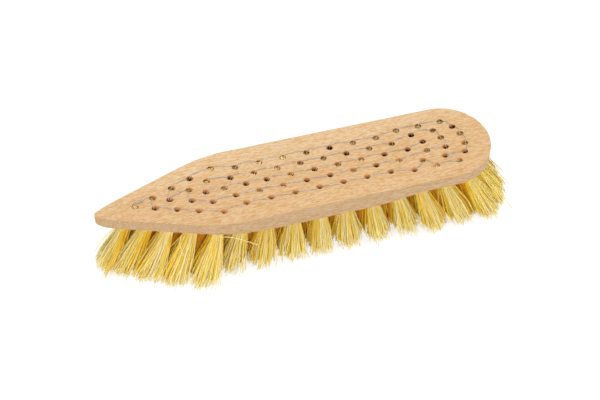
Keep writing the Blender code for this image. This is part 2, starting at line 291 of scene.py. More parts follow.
# Twist beside the nose hole: it starts and aims at places in mm from the first two holes
KNOT_START = (0.6, 1.5, 0.65)
KNOT_AIM = (-0.4, 0.6, 0.65)
KNOT_LENGTH = 3.9 * MM
KNOT_LEAD = 0.3 * MM
KNOT_TURNS = 2
KNOT_STEPS = 8
KNOT_RADIUS = 0.58 * MM
KNOT_IN_BORE = 0.85
KNOT_OVER_RIM = 1.08
KNOT_RISE = 0.3 * MM
KNOT_TAIL = 0.5 * MM
KNOT_TAIL_SIDEWAYS = 0.7 * MM
KNOT_TAIL_STEPS = 4

# The twist's two strands: the turn that each starts at, and the way to where it crosses the rim
KNOT_STRANDS = ((0.0, math.radians(125.0)), (math.pi, math.radians(60.0)))

# Light: name, place, size and power of each lamp
WORLD_STRENGTH = 0.42
LAMPS = (
    ("front", (-0.22, -0.91, 0.35), 0.6, 3.5),
    ("left", (-0.92, -0.12, 0.25), 0.5, 1.0),
    ("back", (0.05, 0.70, 0.40), 0.5, 0.4),
    ("right", (0.90, -0.20, 0.25), 0.5, 1.4),
    ("top", (0.03, -0.05, 0.90), 0.42, 3.05),
)

# Floor: its white as a surface that lights the scene, and as the camera sees it
FLOOR_SIZE = 6.0
FLOOR_DROP = 0.2 * MM
FLOOR_BOUNCE = 0.95
FLOOR_SEEN = 0.35
FLOOR_LIFT = 0.76

# Camera, fitted to the photograph
PHOTO_WIDTH = 600
PHOTO_FOCAL = 1200.0
SENSOR_WIDTH = 36.0
CAMERA_AZIMUTH = math.radians(-15.9)
CAMERA_ELEVATION = math.radians(49.23)
CAMERA_OFFSET = (110.17 * MM, 8.30 * MM, 642.03 * MM)

# Hole rows, in mm from the nose tip and out from the middle line
OUTER_ROW = [(44.0, 7.8), (55.0, 11.9), (67.8, 16.0)]
OUTER_ROW += [(81.0 + 13.65 * i, WIDE_ROW) for i in range(7)]
OUTER_ROW += [(175.8, 15.5), (188.9, 15.5), (202.3, 15.5)]
INNER_ROW = [(63.6, 7.7)]
INNER_ROW += [(76.6 + 13.35 * i, 6.5) for i in range(8)]
INNER_ROW += [(182.8, 10.0), (195.9, 10.0)]
MIDDLE_ROW = [(61.5, 0.0), (71.7, 0.0), (83.9, 0.0)]
MIDDLE_ROW += [(95.6 + 13.6 * i, 0.0) for i in range(7)]
NOSE_TIP = (22.4, 0.0)
NOSE_PAIR = (32.7, 3.7)
NOSE_MIDDLE = (41.5, 0.0)
THROAT_PAIR = (52.9, 3.9)
HEEL_FIRST_PAIR = (187.4, 3.5)
HEEL_SECOND_PAIR = (198.4, 3.7)
HEEL_CORNER = (207.6, 9.9)
HEEL_END = (210.0, 3.8)


def back(hole):
    return hole[0], hole[1]


def front(hole):
    return hole[0], -hole[1]


def both(hole):
    return [front(hole), back(hole)]


def stitching_order():
    """The 72 holes in the order in which the wire passes them."""
    order = [NOSE_TIP, back(NOSE_PAIR), front(NOSE_PAIR)]
    order += [front(hole) for hole in OUTER_ROW[:11]]
    order += [front(INNER_ROW[9]), front(OUTER_ROW[11])]
    order += [front(OUTER_ROW[12]), front(INNER_ROW[10])]
    order += [front(HEEL_CORNER), front(HEEL_END), back(HEEL_END), back(HEEL_CORNER)]
    order += [back(hole) for hole in reversed(OUTER_ROW)]
    order += [NOSE_MIDDLE, back(THROAT_PAIR), front(THROAT_PAIR)]
    order += [front(hole) for hole in INNER_ROW[:9]]
    order += [front(HEEL_FIRST_PAIR), front(HEEL_SECOND_PAIR), back(HEEL_SECOND_PAIR)]
    order += [back(hole) for hole in reversed(INNER_ROW)]
    order += MIDDLE_ROW
    order += [back(HEEL_FIRST_PAIR)]
    return order


def outer_ring():
    """The tufts that stand at the outside of the brush, all round."""
    ring = [NOSE_TIP] + both(NOSE_PAIR) + both(HEEL_CORNER) + both(HEEL_END)
    for hole in OUTER_ROW:
        ring += both(hole)
    return ring


def tuft_groups():
    """CAD node names, each with the one or two tufts that it holds."""
    middle = [[NOSE_TIP], both(NOSE_PAIR), [NOSE_MIDDLE], both(THROAT_PAIR)]
    middle += [[hole] for hole in MIDDLE_ROW]
    middle += [both(HEEL_FIRST_PAIR), both(HEEL_SECOND_PAIR), both(HEEL_END)]
    side = [[OUTER_ROW[0]], [OUTER_ROW[1]]]
    side += [[inner, outer] for inner, outer in zip(INNER_ROW, OUTER_ROW[2:])]
    side += [[HEEL_CORNER]]
    groups = {f"middle_tuft_{i:02d}": group for i, group in enumerate(middle, 1)}
    groups.update({f"back_tuft_{i:02d}": [back(h) for h in g] for i, g in enumerate(side, 1)})
    groups.update({f"front_tuft_{i:02d}": [front(h) for h in g] for i, g in enumerate(side, 1)})
    return groups


def ramp(x, start, end):
    """0 before start, 1 past end, and a smooth rise between them."""
    share = min(max((x - start) / (end - start), 0.0), 1.0)
    return 0.5 - 0.5 * math.cos(math.pi * share)


def thickness(along):
    """Block thickness: thin ends, a thicker middle, and an underside that lifts at the nose."""
    middle = ramp(along, *NOSE_RAMP) - ramp(along, *HEEL_RAMP)
    to_tip = 1.0 - min(max(along / NOSE_LIFT_LENGTH, 0.0), 1.0)
    full = END_THICKNESS + (MIDDLE_THICKNESS - END_THICKNESS) * middle
    return full - NOSE_LIFT * to_tip**2


def underside(x):
    return BRUSH_HEIGHT - thickness(x - NOSE_X)


def place(hole):
    """A hole's centre on the back of the block."""
    return Vector((NOSE_X + hole[0] * MM, hole[1] * MM, BRUSH_HEIGHT))


def tuft_axis(hole):
    """Where a tuft's middle line passes the back of the block, and where it meets the floor."""
    top = place(hole)
    along = hole[0] * MM
    lean_x = max(FAN_RATE * (along - FAN_CENTRE), -FAN_NOSE_LIMIT)
    lean_y = top.y * (SIDE_LEAN_AT_NOSE - SIDE_LEAN_LOSS * along)
    return top, Vector((top.x + lean_x, top.y + lean_y, 0.0))


def axis_point(hole, z):
    """The point of a tuft's middle line at height z."""
    top, floor = tuft_axis(hole)
    return floor.lerp(top, z / BRUSH_HEIGHT)


# Materials


def node_material(name):
    material = bpy.data.materials.new(name)
    material.use_nodes = True
    return material, material.node_tree


def feed(tree, socket, value):
    """Links another node's output to a socket, or sets the socket to a plain value."""
    if isinstance(value, bpy.types.NodeSocket):
        tree.links.new(value, socket)
    else:
        socket.default_value = value


def object_position(tree):
    return tree.nodes.new("ShaderNodeTexCoord").outputs["Object"]


def component(tree, vector, axis):
    node = tree.nodes.new("ShaderNodeSeparateXYZ")
    tree.links.new(vector, node.inputs["Vector"])
    return node.outputs[axis]


def scaled(tree, vector, scale):
    mapping = tree.nodes.new("ShaderNodeMapping")
    mapping.inputs["Scale"].default_value = scale
    tree.links.new(vector, mapping.inputs["Vector"])
    return mapping.outputs["Vector"]


def noise(tree, vector, scale, detail=2.0, roughness=0.5):
    """Noise with its own scale along each axis."""
    node = tree.nodes.new("ShaderNodeTexNoise")
    node.inputs["Scale"].default_value = 1.0
    node.inputs["Detail"].default_value = detail
    node.inputs["Roughness"].default_value = roughness
    tree.links.new(scaled(tree, vector, scale), node.inputs["Vector"])
    return node.outputs["Fac"]


def maths(tree, operation, first, second):
    node = tree.nodes.new("ShaderNodeMath")
    node.operation = operation
    for socket, value in zip(node.inputs, (first, second)):
        feed(tree, socket, value)
    return node.outputs[0]


def share_between(tree, value, start, end):
    """0 at start, 1 at end, and an even rise between them."""
    node = tree.nodes.new("ShaderNodeMapRange")
    node.inputs["From Min"].default_value = start
    node.inputs["From Max"].default_value = end
    tree.links.new(value, node.inputs["Value"])
    return node.outputs[0]


def coloured(tree, value, stops):
    """A ramp of colours over a value."""
    node = tree.nodes.new("ShaderNodeValToRGB")
    elements = node.color_ramp.elements
    while len(elements) < len(stops):
        elements.new(0.5)
    for element, (position, colour) in zip(elements, stops):
        element.position = position
        element.color = (*colour, 1.0)
    tree.links.new(value, node.inputs["Fac"])
    return node.outputs["Color"]


def faded(tree, value, fade):
    """How strongly a pattern shows, by its value."""
    return coloured(tree, value, [(at, (strength,) * 3) for at, strength in fade])


def mix_colour(tree, factor, first, second, blend="MIX"):
    """Mixes two colours; a mix node has its colours at sockets 6 and 7."""
    mix = tree.nodes.new("ShaderNodeMix")
    mix.data_type = "RGBA"
    mix.blend_type = blend
    for number, value in ((0, factor), (6, first), (7, second)):
        feed(tree, mix.inputs[number], value)
    return mix.outputs[2]


def surface(tree, colour, roughness, specular):
    shader = tree.nodes["Principled BSDF"]
    tree.links.new(colour, shader.inputs["Base Color"])
    shader.inputs["Roughness"].default_value = roughness
    shader.inputs["Specular IOR Level"].default_value = specular
    return shader


def add_bump(tree, shader, height, strength):
    bump = tree.nodes.new("ShaderNodeBump")
    bump.inputs["Strength"].default_value = strength
    bump.inputs["Distance"].default_value = BUMP_HEIGHT
    tree.links.new(height, bump.inputs["Height"])
    tree.links.new(bump.outputs["Normal"], shader.inputs["Normal"])


def grain_position(tree):
    """Object space turned to the grain, which wanders a little from side to side."""
    turn = tree.nodes.new("ShaderNodeMapping")
    turn.inputs["Rotation"].default_value = (0.0, 0.0, GRAIN_TURN)
    tree.links.new(object_position(tree), turn.inputs["Vector"])
    wander = noise(tree, turn.outputs["Vector"], WANDER_SCALE, detail=1.0)
    aside = tree.nodes.new("ShaderNodeCombineXYZ")
    shift = maths(tree, "SUBTRACT", wander, 0.5)
    tree.links.new(maths(tree, "MULTIPLY", shift, GRAIN_WANDER), aside.inputs["Y"])
    bent = tree.nodes.new("ShaderNodeVectorMath")
    tree.links.new(turn.outputs["Vector"], bent.inputs[0])
    tree.links.new(aside.outputs["Vector"], bent.inputs[1])
    return bent.outputs["Vector"]


def dark_flecks(tree, position):
    """Short spindles, one in each cell, and stronger in some patches than in others."""
    cells = tree.nodes.new("ShaderNodeTexVoronoi")
    cells.inputs["Scale"].default_value = 1.0
    tree.links.new(scaled(tree, position, FLECK_SCALE), cells.inputs["Vector"])
    spindles = faded(tree, cells.outputs["Distance"], FLECK_FADE)
    patches = faded(tree, noise(tree, position, PATCH_SCALE), PATCH_FADE)
    return maths(tree, "MULTIPLY", spindles, patches)


def beech_material():
    """Bare sanded beech: faint long bands, fine dark lines, short marks and silvery shine, with
    painted sheen towards the back and painted shade on the walls.
    """
    material, tree = node_material("beech")
    position = grain_position(tree)
    band = noise(tree, position, BAND_SCALE, detail=3.0, roughness=0.55)
    bands = coloured(tree, band, BAND_COLOURS)
    streak = noise(tree, position, STREAK_SCALE)
    streaks = maths(tree, "MULTIPLY", faded(tree, streak, STREAK_FADE), STREAK_STRENGTH)
    marks = maths(tree, "MAXIMUM", dark_flecks(tree, position), streaks)
    lines = faded(tree, noise(tree, position, LINE_SCALE), LINE_FADE)
    lined = mix_colour(tree, maths(tree, "MULTIPLY", lines, LINE_STRENGTH), bands, LINE_COLOUR)
    marked = mix_colour(tree, marks, lined, MARK_COLOUR)
    shine = maths(tree, "MULTIPLY", faded(tree, streak, SHINE_FADE), SHINE_STRENGTH)
    silvery = mix_colour(tree, shine, marked, SHINE_COLOUR)
    # Painted sheen: paler towards the back
    to_back = share_between(tree, component(tree, position, "Y"), PALER_FROM, PALER_TO)
    sheened = mix_colour(tree, to_back, silvery, BACK_SHEEN_TINT, "MULTIPLY")
    # Painted shade: the steeper a face stands, the darker and more grey it is made
    normal = tree.nodes.new("ShaderNodeTexCoord").outputs["Normal"]
    level = maths(tree, "ABSOLUTE", component(tree, normal, "Z"), 0.0)
    steepness = maths(tree, "SUBTRACT", 1.0, level)
    wall_shaded = mix_colour(tree, steepness, sheened, WALL_SHADE_TINT, "MULTIPLY")
    shader = surface(tree, wall_shaded, roughness=0.55, specular=0.35)
    add_bump(tree, shader, noise(tree, position, PORE_SCALE, roughness=0.6), strength=0.2)
    return material


def drilled_beech_material():
    """The walls of the holes: raw beech at the mouth, darkened with depth by painted shade."""
    material, tree = node_material("bore_beech_shaded")
    position = object_position(tree)
    height = component(tree, position, "Z")
    # Painted shade: darker with depth down the bore, unevenly along the drill marks
    depth = share_between(tree, height, BRUSH_HEIGHT, BRUSH_HEIGHT - BORE_SHADE_DEPTH)
    drill_marks = noise(tree, position, DRILL_MARK_SCALE, roughness=0.6)
    uneven = maths(tree, "MULTIPLY", drill_marks, BORE_SHADE_UNEVENNESS)
    evened = maths(tree, "SUBTRACT", uneven, BORE_SHADE_UNEVENNESS / 2)
    colour = coloured(tree, maths(tree, "ADD", evened, depth), BORE_SHADE_COLOURS)
    shader = surface(tree, colour, roughness=0.8, specular=0.2)
    add_bump(tree, shader, drill_marks, strength=0.3)
    return material


def fibre_material():
    """Dry plant fibre: gold to pale straw from fibre to fibre; the tones carry painted shade, darkest
    on the folds.
    """
    material, tree = node_material("plant_fibre")
    tone = tree.nodes.new("ShaderNodeAttribute")
    tone.attribute_name = "fibre_tone"
    colour = coloured(tree, tone.outputs["Fac"], FIBRE_COLOURS)
    shader = surface(tree, colour, roughness=0.45, specular=0.15)
    shader.inputs["Diffuse Roughness"].default_value = 1.0
    return material


def wire_material():
    """Drawn steel: a little dull where it lies on the back, and paler with painted light where it dips
    into a bore.
    """
    material, tree = node_material("steel_wire")
    position = object_position(tree)
    dull = coloured(tree, noise(tree, position, WIRE_PATCH_SCALE), WIRE_COLOURS)
    height = component(tree, position, "Z")
    # Painted light on the wire inside the bores
    in_bore = share_between(tree, height, BRUSH_HEIGHT, BRUSH_HEIGHT - LIT_WIRE_BELOW)
    colour = mix_colour(tree, in_bore, dull, LIT_WIRE_IN_BORE)
    shader = surface(tree, colour, roughness=0.45, specular=0.5)
    shader.inputs["Metallic"].default_value = 0.25
    return material


# Pieces


def link(name, data, material=None):
    obj = bpy.data.objects.new(name, data)
    bpy.context.scene.collection.objects.link(obj)
    if material:
        data.materials.append(material)
    return obj


def arc(centre, radius, start, end, steps):
    turns = [start + (end - start) * i / steps for i in range(steps + 1)]
    return [(centre[0] + radius * math.cos(a), centre[1] + radius * math.sin(a)) for a in turns]


def block_outline():
    """Round nose, cheeks, straight sides, shoulder arcs, parallel flanks and a half-round heel."""
    half = BLOCK_WIDTH / 2
    upright = math.pi / 2
    cheek_turn = upright + CHEEK_ANGLE
    side_turn = upright + NOSE_HALF_ANGLE
    nose = arc((NOSE_RADIUS, 0.0), NOSE_RADIUS, math.pi, cheek_turn, NOSE_STEPS)
    inward = NOSE_RADIUS - CHEEK_RADIUS
    cheek_x = NOSE_RADIUS + inward * math.cos(cheek_turn)
    cheek_y = inward * math.sin(cheek_turn)
    cheek = arc((cheek_x, cheek_y), CHEEK_RADIUS, cheek_turn, side_turn, CHEEK_STEPS)
    shoulder_y = half - SHOULDER_RADIUS
    side_rise = shoulder_y + SHOULDER_RADIUS * math.cos(NOSE_HALF_ANGLE) - cheek[-1][1]
    side_end = cheek[-1][0] + side_rise / math.tan(NOSE_HALF_ANGLE)
    shoulder_x = side_end + SHOULDER_RADIUS * math.sin(NOSE_HALF_ANGLE)
    shoulder = arc((shoulder_x, shoulder_y), SHOULDER_RADIUS, side_turn, upright, SHOULDER_STEPS)
    heel = arc((BLOCK_LENGTH - half, 0.0), half, upright, 0.0, HEEL_STEPS)
    upper = nose + cheek[1:] + shoulder + heel
    lower = [(x, -y) for x, y in reversed(upper[1:-1])]
    return [(NOSE_X + x, y) for x, y in upper + lower]


def camber_envelope():
    """Everything above the curved underside: a row of upright slices from nose to heel."""
    stations = [-ENVELOPE_MARGIN]
    stations += [NOSE_LIFT_LENGTH * i / LIFT_STEPS for i in range(LIFT_STEPS + 1)]
    for start, end in (NOSE_RAMP, HEEL_RAMP):
        stations += [start + (end - start) * i / RAMP_STEPS for i in range(RAMP_STEPS + 1)]
    stations += [BLOCK_LENGTH + ENVELOPE_MARGIN]
    half = BLOCK_WIDTH / 2 + ENVELOPE_MARGIN
    high = BRUSH_HEIGHT + ENVELOPE_MARGIN
    bm = bmesh.new()
    sections = []
    for station in stations:
        x = NOSE_X + station
        low = underside(x)
        corners = ((-half, low), (half, low), (half, high), (-half, high))
        sections.append([bm.verts.new((x, y, z)) for y, z in corners])
    for near, far in zip(sections, sections[1:]):
        for i in range(4):
            j = (i + 1) % 4
            bm.faces.new((near[i], near[j], far[j], far[i]))
    bm.faces.new(reversed(sections[0]))
    bm.faces.new(sections[-1])
    bmesh.ops.recalc_face_normals(bm, faces=bm.faces)
    return bm


def evaluated_mesh(obj):
    graph = bpy.context.evaluated_depsgraph_get()
    return bpy.data.meshes.new_from_object(obj.evaluated_get(graph))


def flat_shape(name, outline, depth):
    """A closed mesh of a flat outline with a thickness, made by a filled 2D curve."""
    curve = bpy.data.curves.new(name, "CURVE")
    curve.dimensions = "2D"
    curve.fill_mode = "BOTH"
    curve.extrude = depth / 2
    spline = curve.splines.new("POLY")
    spline.points.add(len(outline) - 1)
    for point, (u, v) in zip(spline.points, outline):
        point.co = (u, v, 0.0, 1.0)
    spline.use_cyclic_u = True
    guide = link(name, curve)
    mesh = evaluated_mesh(guide)
    bpy.data.objects.remove(guide)
    bm = bmesh.new()
    bm.from_mesh(mesh)
    bmesh.ops.remove_doubles(bm, verts=bm.verts, dist=WELD_DISTANCE)
    bm.to_mesh(mesh)
    bm.free()
    return mesh


def cutter_object(name, bm, material):
    mesh = bpy.data.meshes.new(name)
    bm.to_mesh(mesh)
    bm.free()
    return link(name, mesh, material)


def apply_modifiers(obj, helpers):
    """Bakes an object's modifiers into its mesh and removes the helpers they used."""
    mesh = evaluated_mesh(obj)
    obj.modifiers.clear()
    obj.data = mesh
    for helper in helpers:
        bpy.data.objects.remove(helper)


def add_boolean(obj, operand, operation):
    modifier = obj.modifiers.new(operand.name, "BOOLEAN")
    modifier.operation = operation
    modifier.solver = "EXACT"
    modifier.material_mode = "TRANSFER"
    modifier.object = operand


def roof_height(hole):
    """Where the narrow bore from the back opens into the wider one that holds the tuft."""
    top = place(hole)
    return max(BRUSH_HEIGHT - COUNTERBORE_ROOF, underside(top.x) + COUNTERBORE_LEAST_DEPTH)


def bore_point(hole, z):
    """The middle of the narrow bore, which is drilled a little more outwards than the wide one."""
    point = axis_point(hole, z)
    point.y += place(hole).y / MM * BORE_EXTRA_LEAN * (BRUSH_HEIGHT - z)
    return point


def add_hole(bm, hole, rng):
    """One closed cutter: worn mouth, narrow bore, flat step, wide bore, along the tuft's axis."""
    top, floor = tuft_axis(hole)
    slope = (floor - top) / BRUSH_HEIGHT
    lean = Vector((slope.x, slope.y, 0.0))
    stretch = math.sqrt(1.0 + lean.length_squared)
    along = lean.normalized() if lean.length > UPRIGHT_LEAN else Vector((1.0, 0.0, 0.0))
    across = Vector((-along.y, along.x, 0.0))
    bore = BORE_DIAMETER / 2
    wide = COUNTERBORE_DIAMETER / 2
    roof = roof_height(hole)
    profile = [
        (BRUSH_HEIGHT + CUTTER_ABOVE, bore + 3 * MOUTH_WEAR),
        (BRUSH_HEIGHT + MOUTH_LIP, bore + MOUTH_WEAR),
        (BRUSH_HEIGHT - 0.5 * MOUTH_WEAR, bore + 0.35 * MOUTH_WEAR),
        (BRUSH_HEIGHT - 1.5 * MOUTH_WEAR, bore),
        (roof, bore),
        (roof - COUNTERBORE_STEP, wide),
        (underside(top.x) - CUTTER_BELOW, wide),
    ]
    rings = []
    chips = [rng.gauss(0.0, CHIP_SIZE) for _ in range(HOLE_SIDES)]
    for level, (z, radius) in enumerate(profile):
        centre = bore_point(hole, z) if z >= roof else axis_point(hole, z)
        ring = []
        for i in range(HOLE_SIDES):
            turn = 2 * math.pi * i / HOLE_SIDES
            r = radius + (chips[i] if level < CHIPPED_LEVELS else 0.0)
            offset = along * (r * stretch * math.cos(turn)) + across * (r * math.sin(turn))
            ring.append(bm.verts.new(centre + offset))
        rings.append(ring)
    for upper, lower in zip(rings, rings[1:]):
        for i in range(HOLE_SIDES):
            j = (i + 1) % HOLE_SIDES
            bm.faces.new((upper[i], lower[i], lower[j], upper[j]))
    bm.faces.new(rings[0])
    bm.faces.new(reversed(rings[-1]))


def make_block(material, bore_material):
    """The block: outline, curved underside, rounded edges, then the 72 holes."""
    mesh = flat_shape("brush_block", block_outline(), MIDDLE_THICKNESS)
    mesh.transform(Matrix.Translation((0.0, 0.0, BRUSH_HEIGHT - MIDDLE_THICKNESS / 2)))
    block = link("brush_block", mesh, material)
    envelope = cutter_object("camber", camber_envelope(), material)
    add_boolean(block, envelope, "INTERSECT")
    rounding = block.modifiers.new("edge_rounding", "BEVEL")
    rounding.width = EDGE_ROUNDING
    rounding.segments = EDGE_SEGMENTS
    rounding.limit_method = "ANGLE"
    rounding.angle_limit = SHARP_EDGE

    holes = bmesh.new()
    rng = random.Random(CHIP_SEED)
    for hole in stitching_order():
        add_hole(holes, hole, rng)
    cutter = cutter_object("holes", holes, bore_material)
    add_boolean(block, cutter, "DIFFERENCE")
    apply_modifiers(block, [envelope, cutter])
    block.data.shade_smooth()
    block.data.set_sharp_from_angle(angle=CREASE)
    weighted = block.modifiers.new("flat_faces_stay_flat", "WEIGHTED_NORMAL")
    weighted.keep_sharp = True
    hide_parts("beech_block")
    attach(block, "root")


def tube_rings(path, radii, sides, helper):
    """Points of a tube round a path, ring by ring; helper is never along the path."""
    path = np.asarray(path)
    count = len(path)
    tangent = np.gradient(path, axis=0)
    tangent /= np.linalg.norm(tangent, axis=1)[:, None]
    first = np.cross(tangent, np.array(helper))
    first /= np.linalg.norm(first, axis=1)[:, None]
    second = np.cross(tangent, first)
    turns = 2 * np.pi * np.arange(sides) / sides
    ring = (
        first[:, None, :] * np.cos(turns)[None, :, None]
        + second[:, None, :] * np.sin(turns)[None, :, None]
    )
    return (path[:, None, :] + ring * np.asarray(radii)[:, None, None]).reshape(count * sides, 3)


def tube_faces(count, sides, start):
    """Faces of such a tube, with both ends closed; start is the number of its first point."""
    faces = []
    for i in range(count - 1):
        for j in range(sides):
            a = start + i * sides + j
            b = start + i * sides + (j + 1) % sides
            faces.append((a, b, b + sides, a + sides))
    faces.append(tuple(start + j for j in reversed(range(sides))))
    last = start + (count - 1) * sides
    faces.append(tuple(last + j for j in range(sides)))
    return faces


def wire_direction(hole):
    """The way the wire runs across a hole, on average between its two sides."""
    order = stitching_order()
    index = order.index(hole)
    before = place(order[max(index - 1, 0)])
    after = place(order[min(index + 1, len(order) - 1)])
    return (after - before).normalized()


def fold_depth(hole):
    """How far below the back a tuft's fold sits: no two were pulled up alike."""
    low, high = FOLD_DEPTHS[PULLS[stitching_order().index(hole)].lower()]
    return random.Random(f"pull {hole}").uniform(low, high)


def outward_direction(hole):
    """From a hole straight away from the middle line, and from its ends beyond them."""
    start, end = MIDDLE_LINE
    near = min(max(place(hole).x, NOSE_X + start), NOSE_X + end)
    away = place(hole) - Vector((near, 0.0, BRUSH_HEIGHT))
    return away.normalized() if away.length > NEAR_MIDDLE_LINE else Vector((0.0, 0.0, 0.0))


def splay(hole):
    """How far a tuft's fibres bend outwards, past the line on which its hole was drilled."""
    push = float(np.interp(hole[0], SPLAY_PLACES, SPLAY))
    return push * MM * max(min(hole[1] / WIDE_ROW, 1.0), -1.0)


def half_fibre(hole, rng, u, v, along, across, stray):
    """One side of a folded fibre: out of the fold, through both bores, down to its cut tip."""
    bottom = underside(place(hole).x)
    roof = roof_height(hole)

    def inside(z, radius):
        return np.array(axis_point(hole, z) + (along * u + across * v) * radius)

    top_end, floor_end = tuft_axis(hole)
    down = np.array((floor_end - top_end).normalized())
    root = inside(bottom, ROOT_RADIUS)
    scatter = STRAY_SCATTER if stray else TIP_SCATTER
    tip_u = u + rng.gauss(0.0, scatter)
    tip_v = v + rng.gauss(0.0, scatter)
    squareness = (math.hypot(u, v) / max(abs(u), abs(v))) ** TIP_SQUARENESS
    tip = axis_point(hole, 0.0) + (along * tip_u + across * tip_v) * TIP_RADIUS * squareness
    tip.y += splay(hole)
    if hole == NOSE_TIP:
        tip.x += NOSE_TUFT_SHIFT - NOSE_TUFT_SQUEEZE * (tip.x - floor_end.x)
    tip.z = abs(rng.gauss(0.0, TIP_UNEVENNESS))
    if rng.random() < SHORT_FIBRE_SHARE:
        tip.z += rng.uniform(*SHORT_FIBRE_LOSS)
    tip = np.array(tip)
    sway = STRAY_SWAY if stray else SWAY
    bend = np.array([rng.gauss(0.0, sway), rng.gauss(0.0, sway), 0.0])
    reach = np.linalg.norm(tip - root)
    straight = (tip - root) / reach
    leaving = down * (1.0 - ROOT_STRAIGHTNESS) + straight * ROOT_STRAIGHTNESS
    arriving = down * (1.0 - TIP_STRAIGHTNESS) + straight * TIP_STRAIGHTNESS
    first = root + leaving * reach * BEND_REACH
    second = tip - arriving * reach * BEND_REACH + bend
    wave_height = rng.uniform(*WAVE_HEIGHTS)
    wave_phase = rng.uniform(0.0, 2 * math.pi)
    wave_turn = wave_phase * WAVE_TURNS
    wave_side = np.array([math.cos(wave_turn), math.sin(wave_turn), 0.0])
    waves = rng.uniform(*WAVES)
    fold = BRUSH_HEIGHT - fold_depth(hole)
    shoulder = fold - (1.0 - abs(v)) * FOLD_SINK - FOLD_SHOULDER
    top = min(roof + WIDENS_ABOVE_ROOF, shoulder - WIDENS_BELOW_FOLD)
    squeeze = BORE_SQUEEZE * SHOULDER_SQUEEZE
    points = [np.array(bore_point(hole, shoulder) + (along * u + across * v) * squeeze)]
    points += [inside(top, BORE_SQUEEZE), inside(top - WIDENING_LENGTH, ROOT_RADIUS), root]
    for step in range(1, FIBRE_STEPS + 1):
        t = step / FIBRE_STEPS
        s = 1.0 - t
        wave = wave_side * (wave_height * t * math.sin(wave_phase + 2 * math.pi * waves * t))
        line = root * s**3 + 3 * first * s * s * t + 3 * second * s * t * t + tip * t**3
        points.append(line + wave)
    return points


def inward_shade(u, v, facing):
    """How much painted shade deepens a fibre's gold: most in the core, and on the side that faces
    inwards.
    """
    return INWARD_SHADE * (INWARD_CORE - INWARD_RIM * (u * u + v * v) - INWARD_FACING * facing)


def fibre_tones(path, low, tone, shaded_fold, gold, inward, bend):
    """The tone of each point: the fold's above the underside, below it paler towards the tip and
    deepened by painted shade.
    """
    tones = []
    for i, point in enumerate(path):
        height = point[2] / low
        shade = TIP_PALENESS * (1.0 - height)
        # Painted shade of the inner tufts, strongest near the block
        shade -= gold * (INNER_TUFT_SHADE_AT_TIP + (1.0 - INNER_TUFT_SHADE_AT_TIP) * height)
        # Painted shade on fibres in the core and facing inwards
        shade -= inward[0] if i < bend else inward[1]
        value = min(max(tone + shade, 0.0), PALEST_TONE)
        # The fold's painted shade above the underside
        tones.extend([shaded_fold if height > 1.0 else value] * FIBRE_SIDES)
    return tones


def make_tuft(name, hole, node, material, seed):
    """A folded bundle: every fibre goes up one side of the bore, over the wire and down."""
    rng = random.Random(seed)
    along = wire_direction(hole)
    across = Vector((-along.y, along.x, 0.0))
    outward = outward_direction(hole)
    fold = BRUSH_HEIGHT - fold_depth(hole)
    low = underside(place(hole).x)
    # Painted shade for the tufts inside the outer ring
    inner_tuft_shade = 0.0 if hole in outer_ring() else INNER_TUFT_SHADE
    bright = PULLS[stitching_order().index(hole)].isupper()
    fold_tones = BRIGHT_FOLD_TONES if bright else FOLD_TONES
    points = []
    faces = []
    tones = []
    for _ in range(FOLDED_FIBRES):
        radius = rng.random() ** OUTER_CROWDING
        turn = rng.uniform(0.0, math.pi)
        u = radius * math.cos(turn)
        v = radius * math.sin(turn)
        halves = [(u, v), (u * rng.uniform(*OTHER_HALF_ALONG), -v * rng.uniform(*OTHER_HALF_ACROSS))]
        # Painted shade of each half, by its place in the tuft
        inward = [inward_shade(u, v, (along * u + across * v).dot(outward)) for u, v in halves]
        (u1, v1), (u2, v2) = halves
        outer = (abs(v1) + abs(v2)) / 2
        lie = along * ((u1 + u2) / 2 * BORE_SQUEEZE) + across * ((v1 + v2) / 2 * BORE_SQUEEZE)
        lie += across * rng.uniform(-FOLD_JITTER, FOLD_JITTER)
        arch = bore_point(hole, fold - (1.0 - outer) * FOLD_SINK) + lie
        one = half_fibre(hole, rng, u1, v1, along, across, rng.random() < STRAY_SHARE)
        other = half_fibre(hole, rng, u2, v2, along, across, rng.random() < STRAY_SHARE)
        path = one[::-1] + [np.array(arch)] + other
        thick = FIBRE_RADIUS * rng.uniform(*FIBRE_THICKNESSES)
        radii = [thick] * len(path)
        radii[0] = radii[-1] = thick * FIBRE_END_TAPER
        start = len(points)
        points.extend(tube_rings(path, radii, FIBRE_SIDES, along))
        faces.extend(tube_faces(len(path), FIBRE_SIDES, start))
        tone = rng.gauss(TONE_MEAN, TONE_SPREAD)
        # Painted shade on the fold, darkest in the gaps between fibres
        shaded_fold = rng.uniform(*(FOLD_GAP_SHADE_TONES if rng.random() < FOLD_GAP_SHARE else fold_tones))
        tones += fibre_tones(path, low, tone, shaded_fold, inner_tuft_shade, inward, len(one))
    if hole in STRAYS:
        path = [axis_point(hole, low), axis_point(hole, low - WIDENING_LENGTH)]
        path += [Vector(passed) * MM for passed in STRAYS[hole]]
        path = smooth_path(path, STRAY_STEPS)
        start = len(points)
        points.extend(tube_rings(path, [FIBRE_RADIUS] * len(path), FIBRE_SIDES, (0.0, 1.0, 0.0)))
        faces.extend(tube_faces(len(path), FIBRE_SIDES, start))
        tones.extend([PALEST_TONE] * FIBRE_SIDES * len(path))
    mesh = bpy.data.meshes.new(name)
    mesh.from_pydata([tuple(p) for p in points], [], faces)
    attribute = mesh.attributes.new("fibre_tone", "FLOAT", "POINT")
    attribute.data.foreach_set("value", tones)
    mesh.shade_smooth()
    tuft = link(name, mesh, material)
    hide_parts(node)
    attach(tuft, "root")


